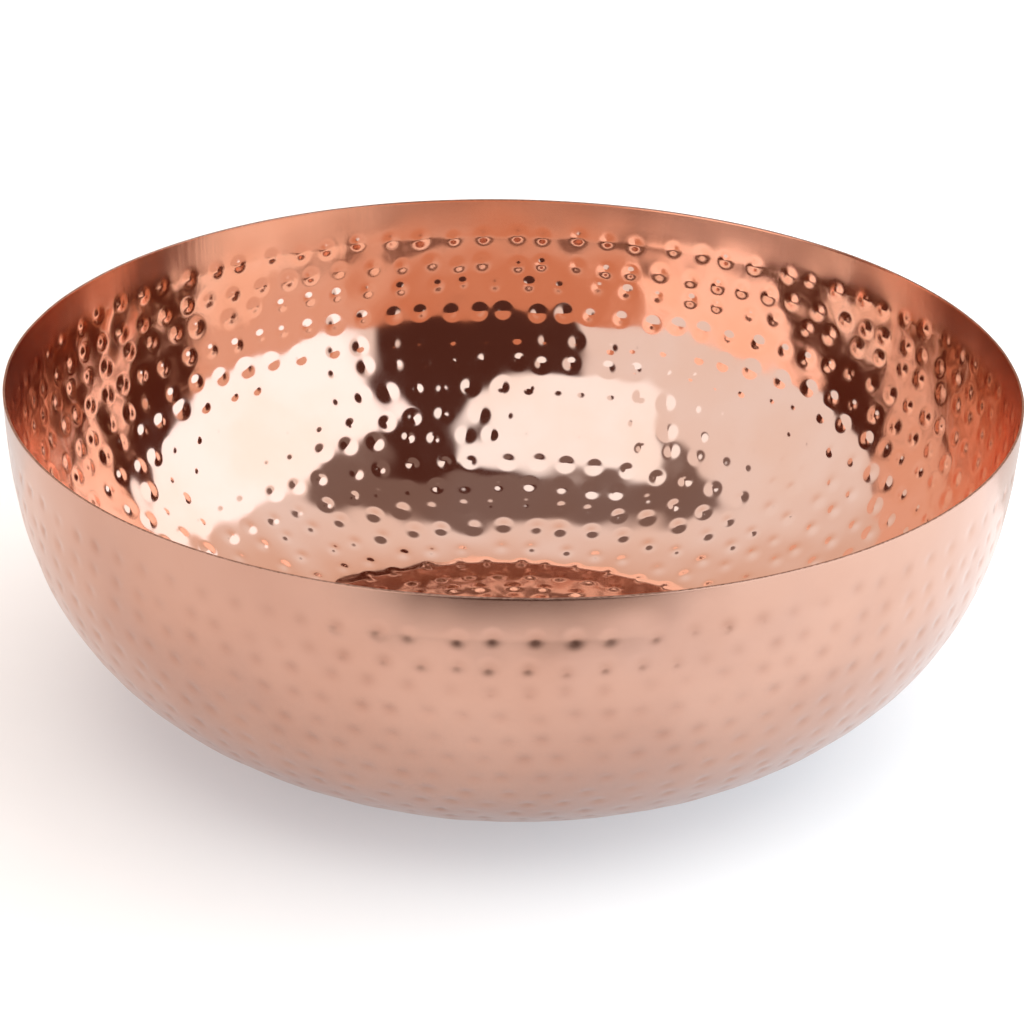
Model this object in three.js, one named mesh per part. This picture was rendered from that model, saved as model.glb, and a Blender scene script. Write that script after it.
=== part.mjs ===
// Hammered copper bowl: one spun and hammered copper sheet with a flat base, standing on four
// small stick-on pads. Millimetres, +Z up, origin on the resting plane under the bowl's centre.

import * as THREE from "three";

// Driving dimensions of the sheet.
const RIM_RADIUS = 178; // outer radius at the mouth
const BASE_RADIUS = 98.5; // outer radius of the flat bottom
const SHELL_HEIGHT = 120.7; // from the underside of the flat bottom to the rim's edge
const SHEET = 0.8; // thickness of the copper
const EDGE_EASE = 0.2; // how far the rim's cut edge is eased on each side

// The wall follows a quarter of a superellipse. It is level where it meets the base, and it is cut
// off at the rim a little before it would stand upright, so the mouth flares slightly.
const DEPTH_POWER = 3.808;
const SPREAD_POWER = 1.239;
const RIM_TURN = 0.069; // where the curve is cut off, in radians of its quarter turn

// Stick-on pads under the flat bottom.
const PAD_COUNT = 4;
const PAD_RADIUS = 6;
const PAD_HEIGHT = 1.8;
const PAD_EASE = 0.3; // rounding of the pad's lower edge
const PAD_CIRCLE_RADIUS = 65; // from the bowl's axis to each pad's centre
const PAD_FIRST_ANGLE = Math.PI / 4;

const CLEARANCE = 0.3; // between the pads and the sheet
const SHELL_BOTTOM = PAD_HEIGHT + CLEARANCE;

// How finely the round surfaces are cut.
const AROUND_SHELL = 60;
const ALONG_WALL = 18;
const AROUND_PAD = 24;

const copper = new THREE.MeshStandardMaterial({ color: 0xc98a6a, metalness: 1.0, roughness: 0.28 });
const padRubber = new THREE.MeshStandardMaterial({ color: 0x8a857c, metalness: 0.0, roughness: 0.6 });

// A full quarter of the curve, as shares of its depth and spread, 0 and 1 where it is upright.
function curveDepth(turn) {
  return Math.sin(turn) ** (2 / DEPTH_POWER);
}

function curveSpread(turn) {
  return Math.cos(turn) ** (2 / SPREAD_POWER);
}

// A point of the sheet's outer face, from 0 at the rim to 1 at the edge of the flat bottom.
function wallPoint(share) {
  const turn = RIM_TURN + share * (Math.PI / 2 - RIM_TURN);
  const depth = (curveDepth(turn) - curveDepth(RIM_TURN)) / (1 - curveDepth(RIM_TURN));
  const spread = curveSpread(turn) / curveSpread(RIM_TURN);
  return new THREE.Vector2(
    BASE_RADIUS + (RIM_RADIUS - BASE_RADIUS) * spread,
    SHELL_BOTTOM + SHELL_HEIGHT * (1 - depth),
  );
}

// The outer face of the wall, from the edge of the flat bottom up to just under the rim's edge.
function outerWall() {
  const points = [];
  for (let step = ALONG_WALL; step > 0; step -= 1) {
    points.push(wallPoint(step / ALONG_WALL));
  }
  return points;
}

// Moves a line of points towards the inside of the bowl by the sheet's thickness.
function innerWall(outer) {
  return outer.map((point, index) => {
    const before = outer[Math.max(index - 1, 0)];
    const after = outer[Math.min(index + 1, outer.length - 1)];
    const along = after.clone().sub(before).normalize();
    const inward = new THREE.Vector2(-along.y, along.x);
    return index === 0
      ? new THREE.Vector2(point.x, point.y + SHEET)
      : point.clone().addScaledVector(inward, SHEET);
  });
}

// The rim's cut edge, level across the sheet and eased on both sides.
function rimEdge() {
  const top = SHELL_BOTTOM + SHELL_HEIGHT;
  return [
    new THREE.Vector2(RIM_RADIUS, top - EDGE_EASE),
    new THREE.Vector2(RIM_RADIUS - EDGE_EASE, top),
    new THREE.Vector2(RIM_RADIUS - SHEET + EDGE_EASE, top),
    new THREE.Vector2(RIM_RADIUS - SHEET, top - EDGE_EASE),
  ];
}

// A solid of revolution about Z from points (radius, height) that start and end on the axis.
function turned(points, around) {
  const geometry = new THREE.LatheGeometry(points, around);
  geometry.rotateX(Math.PI / 2);
  return geometry;
}

function bowlShell() {
  const outer = outerWall();
  const profile = [
    new THREE.Vector2(0, SHELL_BOTTOM),
    ...outer,
    ...rimEdge(),
    ...innerWall(outer).reverse(),
    new THREE.Vector2(0, SHELL_BOTTOM + SHEET),
  ];
  const mesh = new THREE.Mesh(turned(profile, AROUND_SHELL), copper);
  mesh.name = "bowl_shell";
  return mesh;
}

function restPad(index) {
  const profile = [
    new THREE.Vector2(0, 0),
    new THREE.Vector2(PAD_RADIUS - PAD_EASE, 0),
    new THREE.Vector2(PAD_RADIUS, PAD_EASE),
    new THREE.Vector2(PAD_RADIUS, PAD_HEIGHT),
    new THREE.Vector2(0, PAD_HEIGHT),
  ];
  const mesh = new THREE.Mesh(turned(profile, AROUND_PAD), padRubber);
  const angle = PAD_FIRST_ANGLE + (index * 2 * Math.PI) / PAD_COUNT;
  mesh.position.set(PAD_CIRCLE_RADIUS * Math.cos(angle), PAD_CIRCLE_RADIUS * Math.sin(angle), 0);
  mesh.name = `rest_pad_${index + 1}`;
  return mesh;
}

const bowl = new THREE.Group();
bowl.add(bowlShell());
for (let index = 0; index < PAD_COUNT; index += 1) {
  bowl.add(restPad(index));
}

export default bowl;
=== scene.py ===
"""Looks of the hammered copper bowl: the beaten sheet, its two finishes, the pads and the studio.

Metres, +Z up, origin on the resting plane under the bowl's centre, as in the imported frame.
"""

import math

import bpy
import numpy as np
from mathutils import Matrix, Vector


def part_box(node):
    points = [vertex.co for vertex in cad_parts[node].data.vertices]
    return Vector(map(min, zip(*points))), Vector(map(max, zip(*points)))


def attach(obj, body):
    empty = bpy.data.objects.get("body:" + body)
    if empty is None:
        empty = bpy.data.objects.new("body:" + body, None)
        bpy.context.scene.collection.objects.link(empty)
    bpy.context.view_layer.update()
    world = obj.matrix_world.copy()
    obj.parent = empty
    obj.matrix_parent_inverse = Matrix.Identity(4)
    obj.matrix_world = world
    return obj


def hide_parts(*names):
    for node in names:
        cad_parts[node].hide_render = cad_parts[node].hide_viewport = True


MM = 0.001

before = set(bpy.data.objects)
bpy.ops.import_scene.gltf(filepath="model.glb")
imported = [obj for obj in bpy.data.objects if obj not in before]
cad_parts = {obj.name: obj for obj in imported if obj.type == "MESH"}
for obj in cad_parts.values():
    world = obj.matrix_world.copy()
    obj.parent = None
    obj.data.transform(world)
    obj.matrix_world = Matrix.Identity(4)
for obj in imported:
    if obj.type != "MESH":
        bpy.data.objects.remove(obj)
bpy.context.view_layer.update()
shell_low, shell_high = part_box("bowl_shell")

# The sheet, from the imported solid. Its wall is a quarter of a superellipse, cut off at the rim a
# little before it would stand upright.
RIM_RADIUS = shell_high.x
RIM_HEIGHT = shell_high.z
SHELL_BOTTOM = shell_low.z
SHELL_HEIGHT = RIM_HEIGHT - SHELL_BOTTOM
BASE_RADIUS = RIM_RADIUS * 98.5 / 178  # of the flat bottom
SHEET = 0.8 * MM
DEPTH_POWER = 3.808
SPREAD_POWER = 1.239
RIM_TURN = 0.069  # where the curve is cut off, in radians of its quarter turn
EDGE_ROUND = 0.25 * MM  # rounding of the rim's cut edge, on each side

# The hammer marks lie in rings around the bowl, in distances measured down the wall from the rim.
PLAIN_BAND = 15.2 * MM  # from the rim to the first ring
RING_PITCH = 10.1 * MM
RING_WANDER = 0.9 * MM  # how far a ring strays from even spacing
WANDER_TURN = 2.1  # how far that wander turns from ring to ring, in radians
MARK_PITCH = 12.0 * MM
PITCH_RANGE = (0.93, 1.07)  # the ranges are random factors, for the pitch of each ring
FEWEST_MARKS = 5
STRAY_ROUND = 0.14  # how far a mark strays along its ring, as a share of the pitch
STRAY_DOWN = 0.5 * MM  # and across it
MARK_RADIUS = 4.6 * MM  # where a mark has blended into the sheet
RADIUS_RANGE = (0.88, 1.12)  # and for each mark
MARK_HEIGHT = 0.36 * MM
HEIGHT_RANGE = (0.7, 1.2)
PUNCH_TIP = 0.35  # size of the punch's round tip, as a share of a mark's radius
SCAR_AND_SHADE_RADIUS = 2.6 * MM  # the darkened spot in each mark, partly the punch's wear and partly painted shade in the hollow

# The sheet is also very slightly uneven between the marks.
WAVE_COUNT = 48
WAVE_LENGTHS = (12 * MM, 32 * MM)
WAVE_HEIGHT = 0.085 * MM
CALM_RIM = 0.25  # share of that left at the rim, rising to all of it at the first ring

# How finely the sheet is cut.
CURVE_POINTS = 4001
STEP = 0.72 * MM
AROUND = 1600
ANGLES = np.arange(AROUND) * 2 * math.pi / AROUND
COARSEST = 32  # near the axis only every 32nd column is kept
EDGE_STEPS = 3  # over each rounding of the rim's edge

OUTSIDE, EDGE, INSIDE = 0, 1, 2  # the sheet's zones, and its material slots in the same order

PAD_SIDES = 64
PAD_ROUND = 0.5 * MM  # rounding of a pad's lower edge
PAD_STEPS = 5  # over that rounding

chance = np.random.default_rng(14)


# ---------------------------------------------------------------- the sheet's profile

def wall_line():
    """Radius, height and distance from the rim along the outer face, from the rim to the axis."""
    turn = np.linspace(RIM_TURN, math.pi / 2, CURVE_POINTS)
    spread = np.maximum(np.cos(turn), 0) ** (2 / SPREAD_POWER)
    depth = np.sin(turn) ** (2 / DEPTH_POWER)
    radius = BASE_RADIUS + (RIM_RADIUS - BASE_RADIUS) * spread / spread[0]
    height = RIM_HEIGHT - SHELL_HEIGHT * (depth - depth[0]) / (1 - depth[0])
    radius = np.append(radius, 0)
    height = np.append(height, SHELL_BOTTOM)
    distance = np.append(0, np.cumsum(np.hypot(np.diff(radius), np.diff(height))))
    return radius, height, distance


def even_profile():
    """The outer face at even steps from just under the rim to just short of the axis.

    Gives the distance from the rim, the radius, the height and the direction into the bowl.
    """
    radius, height, distance = wall_line()
    last = distance[-1] - 2 * STEP
    count = round((last - EDGE_ROUND) / STEP)
    along = np.linspace(EDGE_ROUND, last, count)
    r = np.interp(along, distance, radius)
    z = np.interp(along, distance, height)
    slope_r = np.gradient(r, along)
    slope_z = np.gradient(z, along)
    length = np.hypot(slope_r, slope_z)
    inward = np.stack([slope_z / length, -slope_r / length], axis=1)
    return along, r, z, inward


# ---------------------------------------------------------------- hammering

def dome(share):
    """Height of one mark at a share of its radius: 1 in the middle, level with the sheet at 1.

    It is steepest round the punch's tip, and the sheet is drawn in more gently outside that.
    """
    tip = PUNCH_TIP**2
    area = np.clip(share, 0, 1) ** 2
    height = (1 + tip) * np.log((1 + tip) / (area + tip)) - (1 - area)
    return height / ((1 + tip) * math.log((1 + tip) / tip) - 1)


def ring_distances(length):
    """Distances from the rim to the rings of marks, evenly spaced but for a slow wander."""
    count = int((length - PLAIN_BAND) / RING_PITCH)
    index = np.arange(count)
    return PLAIN_BAND + RING_PITCH * index + RING_WANDER * np.sin(WANDER_TURN * index)


def press(lift, scar_and_shade, along, r, middle, angle):
    """Adds one mark of random size to lift and darkening, at a distance from the rim and an angle."""
    radius = MARK_RADIUS * chance.uniform(*RADIUS_RANGE)
    height = MARK_HEIGHT * chance.uniform(*HEIGHT_RANGE)
    rows = np.flatnonzero(np.abs(along - middle) < radius)
    turn = (ANGLES - angle + math.pi) % (2 * math.pi) - math.pi
    columns = np.flatnonzero(np.abs(turn) * r[rows].min() < radius)
    down = (along[rows] - middle)[:, None]
    side = turn[columns][None, :] * r[rows][:, None]
    distance = np.hypot(down, side)
    cell = np.ix_(rows, columns)
    lift[cell] += height * dome(distance / radius)
    # The darkening in the hollow: partly the punch's wear, partly painted shade.
    scar_and_shade[cell] += np.exp(-((distance / SCAR_AND_SHADE_RADIUS) ** 2)) * height / MARK_HEIGHT


def hammer(along, r):
    """The marks' lift and darkening (wear and painted shade), by distance from the rim and by angle.
    """
    lift = np.zeros((len(along), AROUND))
    scar_and_shade = np.zeros((len(along), AROUND))
    for ring in ring_distances(along[-1]):
        length = 2 * math.pi * np.interp(ring, along, r)
        marks = max(round(length / (MARK_PITCH * chance.uniform(*PITCH_RANGE))), FEWEST_MARKS)
        pitch = 2 * math.pi / marks
        start = chance.uniform(0, pitch)
        for index in range(marks):
            angle = start + (index + chance.uniform(-STRAY_ROUND, STRAY_ROUND)) * pitch
            middle = ring + chance.normal(0, STRAY_DOWN)
            press(lift, scar_and_shade, along, r, middle, angle)
    return lift, scar_and_shade


def unevenness(points):
    """Slow waves all over the sheet, never below zero."""
    total = np.zeros(points.shape[:-1])
    for _ in range(WAVE_COUNT):
        onward = chance.normal(size=3)
        onward /= np.linalg.norm(onward)
        wave = 2 * math.pi / chance.uniform(*WAVE_LENGTHS)
        total += np.sin(wave * (points @ onward) + chance.uniform(0, 2 * math.pi))
    total *= WAVE_HEIGHT / math.sqrt(WAVE_COUNT / 2)
    return total - total.min()


# ---------------------------------------------------------------- mesh

def column_step(radius):
    """Every how many columns a ring keeps, so that cells stay about square towards the axis."""
    step = 1
    while step < COARSEST and radius < 0.5 * RIM_RADIUS / step:
        step *= 2
    return step


def ring_faces(upper, lower):
    """Triangles and quads between two rings of vertex numbers, the lower one equal or half."""
    top_next = np.roll(upper, -1)
    low_next = np.roll(lower, -1)
    if len(upper) == len(lower):
        return [np.stack([upper, top_next, low_next, lower], axis=1)]
    left, middle, right = upper[0::2], upper[1::2], top_next[1::2]
    return [
        np.stack([left, middle, lower], axis=1),
        np.stack([middle, low_next, lower], axis=1),
        np.stack([middle, right, low_next], axis=1),
    ]


def on_ring(r, z, angle):
    """Points at radius r and height z."""
    return np.stack([r * np.cos(angle), r * np.sin(angle), z + 0 * angle], axis=-1)


def beaten_surface():
    """Radius and height of both faces of the sheet, their wear and painted shade, and the radius
    round the rim.
    """
    along, r, z, inward = even_profile()
    lift, scar_and_shade = hammer(along, r)
    r, z = r[:, None], z[:, None]
    calm = np.clip(along / PLAIN_BAND, 0, 1)[:, None] ** 2
    lift += unevenness(on_ring(r, z, ANGLES)) * (CALM_RIM + (1 - CALM_RIM) * calm)
    outside, inside = [
        (r + inward[:, :1] * depth, z + inward[:, 1:] * depth) for depth in (lift, lift + SHEET)
    ]
    return outside, inside, scar_and_shade, r[0] - lift[0]


def rim_edge(rim):
    """Rings of radius and of height over the rim's cut edge, from the outside to the inside."""
    bend = np.linspace(0, math.pi / 2, EDGE_STEPS + 1)[1:]
    top = RIM_HEIGHT - EDGE_ROUND
    edge = [(EDGE_ROUND * (1 - math.cos(b)), top + EDGE_ROUND * math.sin(b)) for b in bend]
    edge += [(SHEET - offset, height) for offset, height in reversed(edge)]
    return [rim - offset for offset, _ in edge], [np.full(AROUND, height) for _, height in edge]


def thinned(r, z, scar_and_shade):
    """One ring's points and darkening, with fewer columns the nearer it is to the axis."""
    kept = slice(None, None, column_step(r.mean()))
    return on_ring(r[kept], z[kept], ANGLES[kept]), scar_and_shade[kept]


def sheet_faces(rings, zones):
    """Faces between each ring and the next, facing out of the copper, and the zone of each block."""
    faces = []
    face_zones = []
    for first, second, zone_a, zone_b in zip(rings, rings[1:], zones, zones[1:]):
        if len(first) >= len(second):
            made = ring_faces(first, second)
        else:
            made = [face[:, ::-1] for face in ring_faces(second, first)]
        faces += made
        zone = EDGE if EDGE in (zone_a, zone_b) else zone_a
        face_zones += [zone] * len(made)
    return faces, face_zones


def sheet_mesh():
    """The whole beaten sheet as one closed mesh: outside, rim edge and inside."""
    (out_r, out_z), (in_r, in_z), scar_and_shade, rim = beaten_surface()
    edge_r, edge_z = rim_edge(rim)

    # From the middle of the underside, up the outside, over the edge, and down the inside.
    all_r = [*out_r[::-1], *edge_r, *in_r]
    all_z = [*out_z[::-1], *edge_z, *in_z]
    all_scars_and_shade = [*scar_and_shade[::-1], *np.zeros((len(edge_r), AROUND)), *scar_and_shade]
    zones = [OUTSIDE] * len(out_r) + [EDGE] * len(edge_r) + [INSIDE] * len(in_r)
    points, scars_and_shade = zip(*(thinned(*ring) for ring in zip(all_r, all_z, all_scars_and_shade)))
    starts = np.append(0, np.cumsum([len(ring) for ring in points]))
    rings = [start + np.arange(len(ring)) for start, ring in zip(starts, points)]
    faces, face_zones = sheet_faces(rings, zones)

    # A small fan closes each face of the sheet on the axis.
    hubs = np.array([[0, 0, points[end][:, 2].mean()] for end in (0, -1)])
    below, above = rings[0], rings[-1]
    below_hub = np.full(len(below), starts[-1])
    above_hub = np.full(len(above), starts[-1] + 1)
    faces.append(np.stack([below, below_hub, np.roll(below, -1)], axis=1))
    faces.append(np.stack([above, np.roll(above, -1), above_hub], axis=1))
    face_zones += [OUTSIDE, INSIDE]
    return np.concatenate([*points, hubs]), faces, face_zones, np.concatenate([*scars_and_shade, np.zeros(2)])


def mesh_from(name, points, blocks, slots):
    """A smooth-shaded object from blocks of equal-sided faces, each with a material slot."""
    sizes = np.concatenate([np.full(len(block), block.shape[1]) for block in blocks])
    corners = np.concatenate([block.ravel() for block in blocks])
    mesh = bpy.data.meshes.new(name)
    mesh.vertices.add(len(points))
    mesh.vertices.foreach_set("co", points.astype(np.float32).ravel())
    mesh.loops.add(len(corners))
    mesh.loops.foreach_set("vertex_index", corners.astype(np.int32))
    mesh.polygons.add(len(sizes))
    starts = np.append(0, np.cumsum(sizes)[:-1])
    mesh.polygons.foreach_set("loop_start", starts.astype(np.int32))
    face_slots = np.concatenate([np.full(len(block), slot) for block, slot in zip(blocks, slots)])
    mesh.polygons.foreach_set("material_index", face_slots.astype(np.int32))
    mesh.polygons.foreach_set("use_smooth", np.ones(len(sizes), bool))
    mesh.update(calc_edges=True)
    made = bpy.data.objects.new(name, mesh)
    bpy.context.scene.collection.objects.link(made)
    return made


def rectangle(name, centre, half, height):
    """A level rectangle around a centre, from its half width and half depth."""
    signs = ((-1, -1), (1, -1), (1, 1), (-1, 1))
    corners = [[centre[0] + i * half[0], centre[1] + j * half[1], height] for i, j in signs]
    return mesh_from(name, np.array(corners), [np.array([[0, 1, 2, 3]])], [0])


# ---------------------------------------------------------------- node helpers

def set_inputs(tree, node, inputs):
    """Gives each input its value, or joins it to a socket."""
    for name, value in inputs.items():
        if isinstance(value, bpy.types.NodeSocket):
            tree.links.new(value, node.inputs[name])
        else:
            node.inputs[name].default_value = value


def add_node(tree, kind, inputs, **settings):
    made = tree.nodes.new(kind)
    for name, value in settings.items():
        setattr(made, name, value)
    set_inputs(tree, made, inputs)
    return made


def maths(tree, operation, *values):
    inputs = dict(enumerate(values))
    return add_node(tree, "ShaderNodeMath", inputs, operation=operation).outputs[0]


def vector_maths(tree, operation, first, second):
    return add_node(tree, "ShaderNodeVectorMath", {0: first, 1: second}, operation=operation)


def dot(tree, first, second):
    return vector_maths(tree, "DOT_PRODUCT", first, second).outputs["Value"]


def axis(tree, vector, name):
    return add_node(tree, "ShaderNodeSeparateXYZ", {0: vector}).outputs[name]


def ramp(tree, value, low, high, start=0.0, end=1.0):
    """start below low, end above high, and a smooth change between."""
    inputs = {"Value": value, "From Min": low, "From Max": high, "To Min": start, "To Max": end}
    return add_node(tree, "ShaderNodeMapRange", inputs, interpolation_type="SMOOTHSTEP").outputs[0]


def rectangle_mask(tree, values, halves, soft):
    """1 where both values are within their halves of zero, 0 outside, soft at the border."""
    sides = [
        ramp(tree, maths(tree, "ABSOLUTE", value), half - soft, half + soft, start=1.0, end=0.0)
        for value, half in zip(values, halves)
    ]
    return maths(tree, "MULTIPLY", *sides)


def mix_colour(tree, share, first, second):
    """From the first colour to the second. A mix node keeps its colour inputs at 6 and 7."""
    inputs = {0: share, 6: first, 7: second}
    return add_node(tree, "ShaderNodeMix", inputs, data_type="RGBA").outputs[2]


def noise(tree, place, scale, detail=3.0, rough=0.5):
    inputs = {"Vector": place, "Scale": scale, "Detail": detail, "Roughness": rough}
    return add_node(tree, "ShaderNodeTexNoise", inputs).outputs["Fac"]


def stretched(tree, place, scale):
    inputs = {"Vector": place, "Scale": scale}
    return add_node(tree, "ShaderNodeMapping", inputs, vector_type="POINT").outputs[0]


def bump(tree, height, strength, depth):
    inputs = {"Height": height, "Strength": strength, "Distance": depth}
    return add_node(tree, "ShaderNodeBump", inputs).outputs[0]


def rgb(red, green, blue):
    return (red, green, blue, 1.0)


def new_material(name):
    """A material, its tree and Principled shader, and the place on the object as a vector."""
    material = bpy.data.materials.new(name)
    material.use_nodes = True
    tree = material.node_tree
    shader = tree.nodes["Principled BSDF"]
    place = add_node(tree, "ShaderNodeTexCoord", {}).outputs["Object"]
    return material, tree, shader, place


# ---------------------------------------------------------------- materials

COPPER = rgb(0.93, 0.575, 0.435)
COPPER_WARM = rgb(0.91, 0.525, 0.375)
POLISH = 0.07  # roughness of the polished copper
POLISH_SPREAD = 0.02
BRUSHED_BAND = 8 * MM  # below the rim, fading out over as much again
BRUSHING = 0.09  # the roughness that brushing adds

SATIN = rgb(0.58, 0.342, 0.262)
SATIN_DARK = rgb(0.52, 0.292, 0.218)
TARNISHED = rgb(0.47, 0.29, 0.24)
# Darker spots in the marks: partly wear, partly painted shade in the hollows.
SCARRED_AND_SHADED = rgb(0.33, 0.155, 0.105)
SATIN_ROUGHNESS = (0.19, 0.25)
SCAR_AND_SHADE_STRENGTH = (0.12, 0.38)
MOST_TARNISH = 0.6

EDGE_BROWN = rgb(0.30, 0.15, 0.10)
EDGE_BRIGHT = rgb(0.60, 0.33, 0.24)

RUBBER = rgb(0.20, 0.19, 0.18)
RUBBER_DUSTY = rgb(0.30, 0.29, 0.27)

TABLE_TOP = rgb(0.64, 0.59, 0.54)
TABLE_TOP_PALE = rgb(0.66, 0.61, 0.56)
# Painted light: the table top glows, darker on the left and brighter on the right, which also
# lightens the shadow round the bowl.
GLOW_LEFT = rgb(0.28, 0.27, 0.275)
GLOW_RIGHT = rgb(0.74, 0.98, 1.12)
GLOW_SPAN = (-0.25, 0.65)  # where, from left to right, the one turns into the other


def copper_inside():
    """Mirror-polished copper, with a finely brushed band under the rim."""
    material, tree, shader, place = new_material("copper_polished")
    clouds = ramp(tree, noise(tree, place, scale=22.0, detail=4.0), 0.35, 0.7)
    grain = noise(tree, place, scale=900.0, detail=2.0)
    band_low = RIM_HEIGHT - 2 * BRUSHED_BAND
    band = ramp(tree, axis(tree, place, "Z"), band_low, band_low + BRUSHED_BAND)
    upright = stretched(tree, place, (1.0, 1.0, 0.04))
    streaks = maths(tree, "MULTIPLY", noise(tree, upright, scale=420.0, rough=0.6), band)
    polish = maths(tree, "MULTIPLY_ADD", grain, POLISH_SPREAD, POLISH)
    set_inputs(tree, shader, {
        "Base Color": mix_colour(tree, clouds, COPPER, COPPER_WARM),
        "Metallic": 1.0,
        "Roughness": maths(tree, "ADD", polish, maths(tree, "MULTIPLY", band, BRUSHING)),
        "Normal": bump(tree, streaks, strength=0.5, depth=0.06 * MM),
    })
    return material


def copper_outside():
    """Satin copper, brushed around the bowl, with faint clouds in its colour and gloss."""
    material, tree, shader, place = new_material("copper_satin")
    clouds = ramp(tree, noise(tree, place, scale=16.0, detail=4.0), 0.3, 0.75)
    patches = noise(tree, place, scale=9.0, rough=0.6)
    patches = ramp(tree, patches, 0.48, 0.75, end=MOST_TARNISH)
    smudges = noise(tree, place, scale=55.0, detail=5.0, rough=0.6)
    around = stretched(tree, place, (0.05, 0.05, 1.0))
    brushed = noise(tree, around, scale=2600.0, rough=0.65)
    # The darkening in each mark's hollow: partly the punch's wear, partly painted shade.
    scar_and_shade = add_node(tree, "ShaderNodeAttribute", {}, attribute_name="scar_and_shade").outputs["Fac"]
    strength = ramp(tree, noise(tree, place, scale=30.0, detail=2.0), 0.3, 0.7, *SCAR_AND_SHADE_STRENGTH)
    colour = mix_colour(tree, clouds, SATIN, SATIN_DARK)
    colour = mix_colour(tree, patches, colour, TARNISHED)
    colour = mix_colour(tree, maths(tree, "MULTIPLY", scar_and_shade, strength), colour, SCARRED_AND_SHADED)
    set_inputs(tree, shader, {
        "Base Color": colour,
        "Metallic": 1.0,
        "Roughness": ramp(tree, smudges, 0.25, 0.75, *SATIN_ROUGHNESS),
        "Coat Weight": 0.12,
        "Coat Roughness": 0.2,
        "Normal": bump(tree, brushed, strength=0.06, depth=0.02 * MM),
    })
    return material


def copper_edge():
    """The cut edge of the sheet, duller and browner than its faces."""
    material, tree, shader, place = new_material("copper_cut_edge")
    nicks = noise(tree, place, scale=700.0)
    set_inputs(tree, shader, {
        "Base Color": mix_colour(tree, ramp(tree, nicks, 0.3, 0.7), EDGE_BROWN, EDGE_BRIGHT),
        "Metallic": 1.0,
        "Roughness": ramp(tree, nicks, 0.3, 0.7, start=0.3, end=0.5),
    })
    return material


def pad_rubber():
    """Soft grey rubber, slightly mottled and dusty."""
    material, tree, shader, place = new_material("pad_rubber")
    grain = noise(tree, place, scale=1500.0, detail=4.0)
    set_inputs(tree, shader, {
        "Base Color": mix_colour(tree, grain, RUBBER, RUBBER_DUSTY),
        "Roughness": ramp(tree, grain, 0.2, 0.8, start=0.5, end=0.75),
        "Normal": bump(tree, grain, strength=0.4, depth=0.05 * MM),
    })
    return material


def glowing_table():
    """A white table top that glows as painted light, a little more on the right."""
    material, tree, shader, place = new_material("glowing_table")
    tooth = noise(tree, place, scale=30.0)
    # Painted light: the glow grows from left to right.
    rightward = ramp(tree, axis(tree, place, "X"), *GLOW_SPAN)
    set_inputs(tree, shader, {
        "Base Color": mix_colour(tree, tooth, TABLE_TOP, TABLE_TOP_PALE),
        "Emission Color": mix_colour(tree, rightward, GLOW_LEFT, GLOW_RIGHT),
        "Emission Strength": 1.0,
        "Roughness": 0.9,
        "Specular IOR Level": 0.1,
    })
    return material


# ---------------------------------------------------------------- pieces

def make_bowl():
    points, faces, zones, scars_and_shade = sheet_mesh()
    bowl = mesh_from("bowl_sheet", points, faces, zones)
    # Each mark's darkening, partly wear and partly painted shade, for the outside's colour.
    darkening = bowl.data.attributes.new("scar_and_shade", "FLOAT", "POINT")
    darkening.data.foreach_set("value", scars_and_shade.astype(np.float32))
    for material in (copper_outside(), copper_edge(), copper_inside()):
        bowl.data.materials.append(material)
    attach(bowl, "root")
    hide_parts("bowl_shell")


def make_pad(node, material):
    """A round stick-on pad in the place of one CAD pad, with a rolled lower edge."""
    low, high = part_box(node)
    centre = (low + high) / 2
    radius = (high.x - low.x) / 2
    bend = np.linspace(0, math.pi / 2, PAD_STEPS + 1)
    r = np.append(radius - PAD_ROUND * (1 - np.sin(bend)), radius)
    z = np.append(low.z + PAD_ROUND * (1 - np.cos(bend)), high.z)
    angle = np.arange(PAD_SIDES) * 2 * math.pi / PAD_SIDES
    points = on_ring(r[:, None], z[:, None], angle) + [centre.x, centre.y, 0]
    rings = np.arange(len(r) * PAD_SIDES).reshape(len(r), PAD_SIDES)
    faces = [ring_faces(lower, upper)[0] for lower, upper in zip(rings, rings[1:])]
    faces += [rings[:1, ::-1], rings[-1:]]
    name = node.replace("rest_pad", "rubber_pad")
    pad = mesh_from(name, points.reshape(-1, 3), faces, [0] * len(faces))
    pad.data.materials.append(material)
    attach(pad, "root")
    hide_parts(node)


# ---------------------------------------------------------------- light and camera

TABLE_REACH = 8.0  # from the bowl to each side of the table

# The studio's colours, and its panels from the back to the front: colour, then azimuth, elevation
# and roll in degrees, then half width, half height and softness at a distance of one.
PALE = rgb(0.89, 0.955, 1.03)
WARM_CARD = rgb(0.72, 0.55, 0.46)
WARM_RISE = (0.05, 0.75)  # the share of backward in a direction, where the card begins and is full
PANELS = {
    "ceiling": (rgb(0.21, 0.175, 0.175), (180, 80, 0), (0.70, 0.34), 0.04),
    "front": (rgb(0.082, 0.034, 0.027), (170, 34, 0), (0.47, 1.0), 0.05),
    "wall": (rgb(1.35, 1.57, 1.83), (98, 22, -8), (0.80, 0.62), 0.04),
    "soft box": (rgb(1.15, 1.40, 1.61), (200, 54, 8), (0.38, 0.40), 0.03),
}

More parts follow.
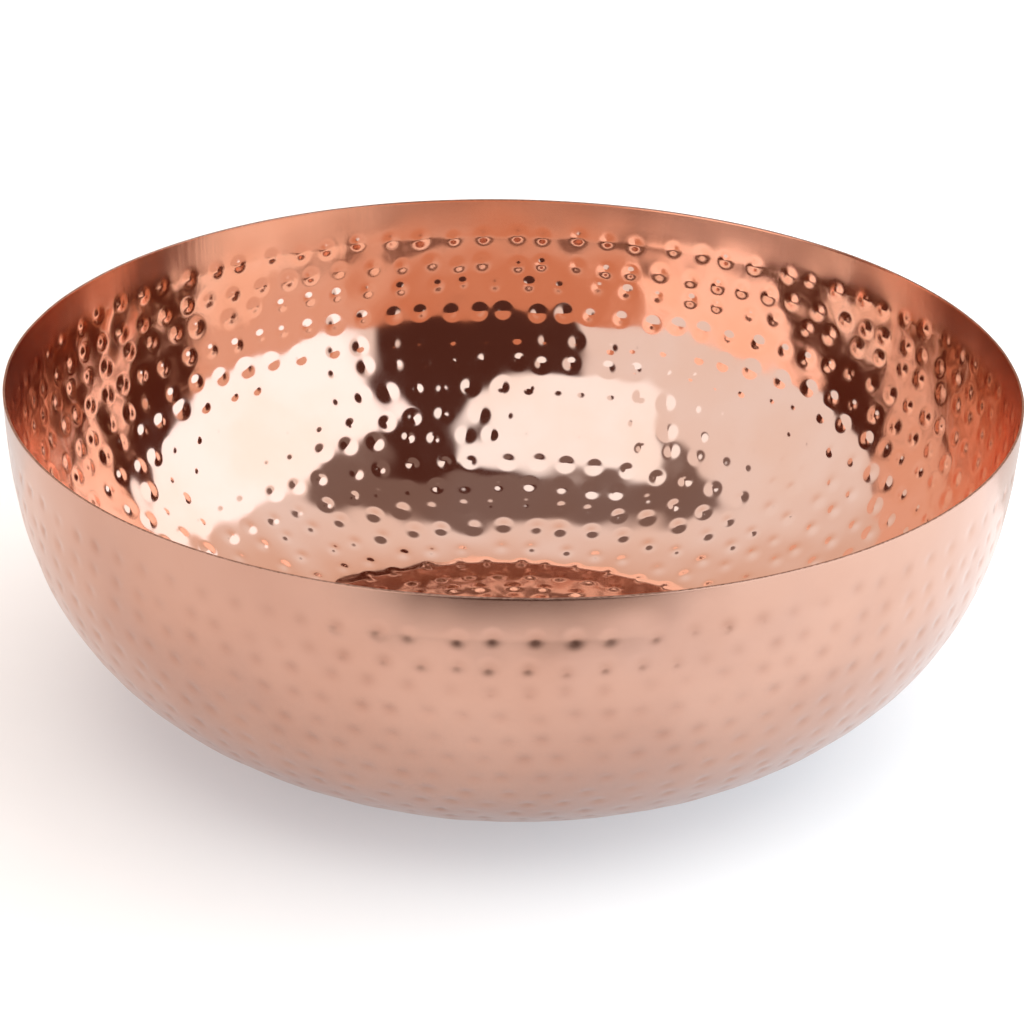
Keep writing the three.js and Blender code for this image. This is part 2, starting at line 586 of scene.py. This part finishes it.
# The cards on the table, painted reflections that only the copper shows: colour, centre, half width
# and half depth, and softness of the border.
TABLE_LIGHT = rgb(1.05, 1.03, 1.01)
CARD_HEIGHT = 1 * MM
REFLECTION_CARDS = {
    "front_reflection_card": (rgb(0.08, 0.036, 0.024), (0.035, -1.22), (0.23, 0.90), 0.045),
    "left_reflection_card": (rgb(0.34, 0.35, 0.37), (-0.46, 0.50), (0.30, 0.38), 0.13),
    "right_reflection_card": (rgb(0.72, 0.76, 0.80), (0.46, 0.50), (0.30, 0.38), 0.13),
}

LAMP_SIZE = 5.0
LAMP_POWER = 115.0
LAMP_COLOUR = (1.0, 0.94, 0.89)
LAMP_PLACE = (0.5, -0.4, 3.0)

# The camera's tilt below level and its roll, and its distance and aim from the middle of the mouth.
CAMERA_TILT = math.radians(22.839)
CAMERA_ROLL = math.radians(1.147)
CAMERA_DISTANCE = 8 * RIM_RADIUS
CAMERA_AIM = RIM_RADIUS * Vector((0.0015, 0, -0.2945))
CAMERA_LENS = 142.80  # in mm, as is the sensor's width
CAMERA_SENSOR = 36.0

GLOSSY_BOUNCES = 8  # the inside of the bowl mirrors itself
MOST_BOUNCES = 12


def heading(azimuth, elevation):
    """A direction, its azimuth clockwise from +Y as seen from above."""
    turn, rise = math.radians(azimuth), math.radians(elevation)
    level = math.cos(rise)
    return Vector((math.sin(turn) * level, math.cos(turn) * level, math.sin(rise)))


def panel(tree, direction, turns, halves, soft):
    """Where a rectangular panel facing the bowl stands in the sky, as a mask from 0 to 1."""
    azimuth, elevation, roll = turns
    centre = heading(azimuth, elevation)
    right = centre.cross(Vector((0, 0, 1))).normalized()
    up = right.cross(centre)
    turned = Matrix.Rotation(math.radians(roll), 3, centre)
    ahead = dot(tree, direction, centre)
    safe = maths(tree, "MAXIMUM", ahead, 0.001)
    values = [
        maths(tree, "DIVIDE", dot(tree, direction, turned @ side), safe) for side in (right, up)
    ]
    mask = rectangle_mask(tree, values, halves, soft)
    return maths(tree, "MULTIPLY", mask, maths(tree, "GREATER_THAN", ahead, 0.0))


def make_studio():
    """A pale tent with a dark ceiling and front, a bright wall, a soft box and a warm card behind."""
    world = bpy.data.worlds.new("studio")
    bpy.context.scene.world = world
    world.use_nodes = True
    tree = world.node_tree
    direction = add_node(tree, "ShaderNodeTexCoord", {}).outputs["Generated"]
    behind = ramp(tree, axis(tree, direction, "Y"), *WARM_RISE)
    colour = mix_colour(tree, behind, PALE, WARM_CARD)
    for shade, turns, halves, soft in PANELS.values():
        colour = mix_colour(tree, panel(tree, direction, turns, halves, soft), colour, shade)
    set_inputs(tree, tree.nodes["Background"], {"Color": colour})


def make_floor():
    floor = rectangle("studio_floor", (0, 0), (TABLE_REACH, TABLE_REACH), 0)
    floor.data.materials.append(glowing_table())


def make_overhead():
    """A large soft light from above for the table, which the copper doesn't mirror."""
    light = bpy.data.lights.new("overhead", "AREA")
    light.shape = "DISK"
    light.size = LAMP_SIZE
    light.energy = LAMP_POWER
    light.color = LAMP_COLOUR
    lamp = bpy.data.objects.new("overhead", light)
    lamp.location = LAMP_PLACE
    lamp.visible_glossy = False
    lamp.visible_camera = False
    bpy.context.scene.collection.objects.link(lamp)


def make_reflection_card(name, shade, centre, half, soft):
    """A soft-edged glowing card on the table, out of the picture, that only the copper mirrors: a
    painted reflection.
    """
    card = rectangle(name, centre, half, CARD_HEIGHT)
    material, tree, shader, place = new_material(name)
    offset = vector_maths(tree, "SUBTRACT", place, (*centre, 0)).outputs["Vector"]
    values = [axis(tree, offset, "X"), axis(tree, offset, "Y")]
    mask = rectangle_mask(tree, values, (half[0] - soft, half[1] - soft), soft)
    set_inputs(tree, shader, {
        # Painted reflection: the card glows dark in its middle and as bright as the table at its
        # border.
        "Emission Color": mix_colour(tree, mask, TABLE_LIGHT, shade),
        "Emission Strength": 1.0,
        "Base Color": rgb(0, 0, 0),
        "Roughness": 1.0,
        "Specular IOR Level": 0.0,
    })
    card.data.materials.append(material)
    card.visible_camera = False
    card.visible_diffuse = False
    card.visible_shadow = False


def make_camera():
    """Looks down into the bowl from the front."""
    mouth = Vector((0, 0, RIM_HEIGHT))
    outward = Vector((0, -math.cos(CAMERA_TILT), math.sin(CAMERA_TILT)))
    place = mouth + CAMERA_DISTANCE * outward
    lens = bpy.data.cameras.new("camera")
    lens.sensor_width = CAMERA_SENSOR
    lens.lens = CAMERA_LENS
    camera = bpy.data.objects.new("camera", lens)
    turn = (mouth + CAMERA_AIM - place).to_track_quat("-Z", "Y").to_matrix()
    turn = turn @ Matrix.Rotation(CAMERA_ROLL, 3, "Z")
    camera.matrix_world = Matrix.Translation(place) @ turn.to_4x4()
    bpy.context.scene.collection.objects.link(camera)
    bpy.context.scene.camera = camera


make_camera()
make_bowl()
rubber = pad_rubber()
for name in sorted(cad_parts):
    if name.startswith("rest_pad"):
        make_pad(name, rubber)
make_floor()
make_studio()
make_overhead()
for name, (shade, centre, half, soft) in REFLECTION_CARDS.items():
    make_reflection_card(name, shade, centre, half, soft)
bpy.context.scene.view_settings.view_transform = "Standard"
bpy.context.scene.cycles.glossy_bounces = GLOSSY_BOUNCES
bpy.context.scene.cycles.max_bounces = MOST_BOUNCES
